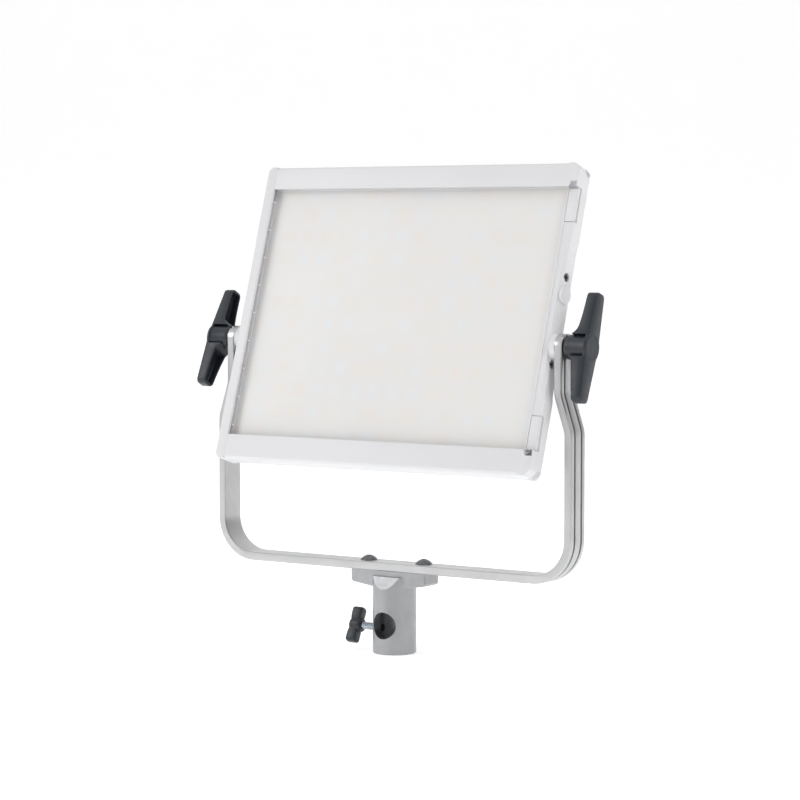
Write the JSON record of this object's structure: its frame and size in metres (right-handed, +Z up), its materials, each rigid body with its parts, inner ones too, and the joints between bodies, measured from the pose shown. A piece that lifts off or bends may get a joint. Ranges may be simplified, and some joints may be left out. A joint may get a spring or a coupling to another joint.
{
  "type": "led panel light",
  "caption": "Soft LED panel light in a tilting flat-bar yoke with T-handle clamps, on a junior stand receiver with a cross hole and lock screw.",
  "frame": {"origin": "centre of the stand receiver's lower mouth, where a stand's spigot enters", "axes": "+Z up along the receiver bore, +X to the right seen from the lit side, the light shines towards -Y; the head is stored leaning back 17.8 degrees"},
  "size_m": [0.47, 0.1486, 0.5062],
  "materials": {
    "white_frame": "satin white powder coat",
    "white_moulding": "fine matt moulded white",
    "opal_sheet": "milky satin opal",
    "silver_yoke": "satin blasted and clear anodised",
    "cast_receiver": "fine blasted",
    "zinc_steel": "bright zinc plated",
    "dark_steel": "black oxide",
    "stainless": "turned",
    "brass": "turned",
    "handle_moulding": "fine textured dark blue-grey nylon",
    "black_moulding": "fine textured",
    "black_acetal": "smooth",
    "white_reflector": "matt",
    "foam": "closed-cell foam",
    "board_white": "white solder mask",
    "board_green": "green solder mask",
    "emitter": "phosphor",
    "black_anodised": "black anodised",
    "clear_window": "polished",
    "display_glass": "gloss",
    "knob_rubber": "soft touch"
  },
  "bodies": {
    "root": {"yoke_bar": "silver_yoke", "yoke_bushes": "black_acetal", "stand_receiver": "cast_receiver", "receiver_bolts": "dark_steel"},
    "lock_nose": {"lock_pad": "black_acetal"},
    "lock_screw": {"lock_stud": "zinc_steel", "lock_knob": "handle_moulding"},
    "head": {"top_bar": "white_frame", "bottom_bar": "white_frame", "left_rail": "white_frame", "right_rail": "white_frame", "upper_right_corner": "white_moulding", "lower_right_corner": "white_moulding", "gate_pins": "stainless", "diffuser_sheet": "opal_sheet", "diffuser_gasket": "foam", "mixing_frame": "white_reflector", "led_board": "board_white", "led_emitters": "emitter", "heatsink": "black_anodised", "heatsink_screws": "zinc_steel", "rear_plate": "white_frame", "rear_housing": "white_moulding", "housing_screws": "zinc_steel", "driver_board": "board_green", "control_board": "board_green", "display_module": "display_glass", "display_window": "clear_window", "encoder_bushes": "brass", "switch_body": "black_moulding", "power_inlet": "black_moulding", "data_sockets": "black_moulding", "pivot_inserts": "stainless", "pivot_spacers": "white_moulding", "blanking_plugs": "white_moulding", "side_screws": "dark_steel"},
    "upper_gate": {"upper_gate": "white_moulding"},
    "lower_gate": {"lower_gate": "white_moulding"},
    "dimmer_knob": {"dimmer_knob": "knob_rubber"},
    "colour_knob": {"colour_knob": "knob_rubber"},
    "menu_button": {"menu_button": "knob_rubber"},
    "mode_button": {"mode_button": "knob_rubber"},
    "back_button": {"back_button": "knob_rubber"},
    "switch_rocker": {"switch_rocker": "black_moulding"},
    "left_clamp": {"left_clamp_washer": "dark_steel"},
    "left_handle": {"left_handle": "handle_moulding", "left_handle_stud": "zinc_steel"},
    "right_clamp": {"right_clamp_washer": "dark_steel"},
    "right_handle": {"right_handle": "handle_moulding", "right_handle_stud": "zinc_steel"}
  },
  "joints": [
    {"name": "head_tilt", "type": "hinge", "parent": "root", "child": "head", "pos_m": [0, 0, 0.3224], "axis": [1, 0, 0], "range_deg": [-180, 180]},
    {"name": "lock_nose_travel", "type": "slide", "parent": "root", "child": "lock_nose", "axis": [1, 0, 0], "range_m": [-0.0026, 0.0038]},
    {"name": "lock_screw_turn", "type": "hinge", "parent": "lock_nose", "child": "lock_screw", "pos_m": [-0.03, 0, 0.025], "axis": [1, 0, 0], "range_deg": [-720, 1080]},
    {"name": "right_clamp_travel", "type": "slide", "parent": "head", "child": "right_clamp", "axis": [1, 0, 0], "range_m": [0, 0.0026]},
    {"name": "right_handle_turn", "type": "hinge", "parent": "right_clamp", "child": "right_handle", "pos_m": [0.21, 0, 0.3224], "axis": [1, 0, 0], "range_deg": [0, 720]},
    {"name": "left_clamp_travel", "type": "slide", "parent": "head", "child": "left_clamp", "axis": [-1, 0, 0], "range_m": [0, 0.0026]},
    {"name": "left_handle_turn", "type": "hinge", "parent": "left_clamp", "child": "left_handle", "pos_m": [-0.21, 0, 0.3224], "axis": [-1, 0, 0], "range_deg": [0, 720]},
    {"name": "upper_gate_swing", "type": "hinge", "parent": "head", "child": "upper_gate", "pos_m": [0.1929, 0.03922, 0.4642], "axis": [0, 0.3057, 0.9521], "range_deg": [0, 90]},
    {"name": "lower_gate_swing", "type": "hinge", "parent": "head", "child": "lower_gate", "pos_m": [0.1929, -0.03384, 0.23664], "axis": [0, 0.3057, 0.9521], "range_deg": [0, 90]},
    {"name": "dimmer_turn", "type": "hinge", "parent": "head", "child": "dimmer_knob", "pos_m": [-0.062, 0.03575, 0.26366], "axis": [0, 0.9521, -0.3057], "continuous": true},
    {"name": "colour_turn", "type": "hinge", "parent": "head", "child": "colour_knob", "pos_m": [0.062, 0.03575, 0.26366], "axis": [0, 0.9521, -0.3057], "continuous": true},
    {"name": "menu_press", "type": "slide", "parent": "head", "child": "menu_button", "axis": [0, -0.9521, 0.3057], "range_m": [0, 0.0012], "stiffness_N_per_m": 600, "springref_m": -0.0008},
    {"name": "mode_press", "type": "slide", "parent": "head", "child": "mode_button", "axis": [0, -0.9521, 0.3057], "range_m": [0, 0.0012], "stiffness_N_per_m": 600, "springref_m": -0.0008},
    {"name": "back_press", "type": "slide", "parent": "head", "child": "back_button", "axis": [0, -0.9521, 0.3057], "range_m": [0, 0.0012], "stiffness_N_per_m": 600, "springref_m": -0.0008},
    {"name": "power_rock", "type": "hinge", "parent": "head", "child": "switch_rocker", "pos_m": [-0.132, 0.02739, 0.23694], "axis": [1, 0, 0], "range_deg": [-14, 0]}
  ],
  "couplings": [
    {"joint": "lock_nose_travel", "follows": "lock_screw_turn", "m_per_rad": 0.00019894},
    {"joint": "right_clamp_travel", "follows": "right_handle_turn", "m_per_rad": 0.00019894},
    {"joint": "left_clamp_travel", "follows": "left_handle_turn", "m_per_rad": 0.00019894}
  ]
}
